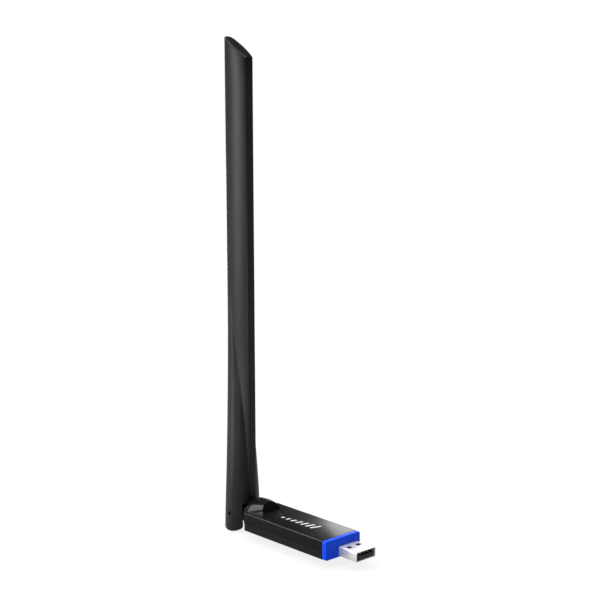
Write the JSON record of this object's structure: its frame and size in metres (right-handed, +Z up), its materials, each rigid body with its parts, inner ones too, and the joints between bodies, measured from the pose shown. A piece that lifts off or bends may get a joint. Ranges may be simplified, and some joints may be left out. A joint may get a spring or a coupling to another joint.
{
  "type": "usb wifi adapter",
  "caption": "Stick-shaped USB wireless network adapter with an offset USB-A plug and a long flat antenna that folds and swivels on a round knuckle.",
  "frame": {"origin": "on the USB plug's axis, at the front face of the blue end bezel that stops against the port", "axes": "+X out of the plug, +Z up through the housing's top face and along the upright antenna, +Y to the left of the plug"},
  "size_m": [0.0894, 0.0216, 0.2353],
  "materials": {
    "gloss_black_plastic": "polished",
    "satin_black_plastic": "satin",
    "antenna_black_plastic": "fine satin texture",
    "knuckle_black_plastic": "satin",
    "blue_plastic": "semi gloss",
    "clear_plastic": "clear polished",
    "nickel_plated_steel": "bright nickel",
    "insulator_plastic": "moulded",
    "gold_plating": "plated",
    "green_board": "solder mask",
    "antenna_strip_board": "bare laminate",
    "copper_foil": "etched foil",
    "chip_resin": "moulded resin",
    "tinned_can": "tinned",
    "ferrite": "sintered",
    "capacitor_ceramic": "fired ceramic",
    "led_package": "moulded",
    "lead_jacket": "extruded",
    "spring_steel": "spring steel",
    "pin_steel": "ground",
    "washer_polymer": "turned",
    "foam": "open cell"
  },
  "bodies": {
    "dongle": {"top_housing": "gloss_black_plastic", "bottom_housing": "satin_black_plastic", "end_bezel": "blue_plastic", "light_pipe": "clear_plastic", "usb_shell": "nickel_plated_steel", "usb_insulator": "insulator_plastic", "usb_contact_1": "gold_plating", "usb_contact_2": "gold_plating", "usb_contact_3": "gold_plating", "usb_contact_4": "gold_plating", "circuit_board": "green_board", "shield_can": "tinned_can", "wifi_chip": "chip_resin", "memory_chip": "chip_resin", "regulator_chip": "chip_resin", "crystal_can": "tinned_can", "power_inductor": "ferrite", "ceramic_capacitor_1": "capacitor_ceramic", "ceramic_capacitor_2": "capacitor_ceramic", "ceramic_capacitor_3": "capacitor_ceramic", "ceramic_capacitor_4": "capacitor_ceramic", "ceramic_capacitor_5": "capacitor_ceramic", "ceramic_capacitor_6": "capacitor_ceramic", "status_led": "led_package", "coax_body_run": "lead_jacket", "coax_ground_tab": "gold_plating"},
    "knuckle": {"swivel_knuckle": "knuckle_black_plastic", "retaining_clip": "spring_steel", "friction_washer": "washer_polymer", "coax_knuckle_run": "lead_jacket"},
    "antenna": {"antenna_front_shell": "antenna_black_plastic", "antenna_back_shell": "antenna_black_plastic", "hinge_pin_front": "pin_steel", "hinge_pin_back": "pin_steel", "antenna_board": "antenna_strip_board", "dipole_elements": "copper_foil", "foam_pad_1": "foam", "foam_pad_2": "foam", "foam_pad_3": "foam", "foam_pad_4": "foam", "coax_antenna_run": "lead_jacket"}
  },
  "joints": [
    {"name": "antenna_swivel", "type": "hinge", "parent": "dongle", "child": "knuckle", "pos_m": [-0.0589, -0.0031, 0.002], "axis": [1, 0, 0], "range_deg": [-90, 90]},
    {"name": "antenna_fold", "type": "hinge", "parent": "knuckle", "child": "antenna", "pos_m": [-0.06965, -0.0031, 0.002], "axis": [0, 1, 0], "range_deg": [-90, 0]}
  ]
}
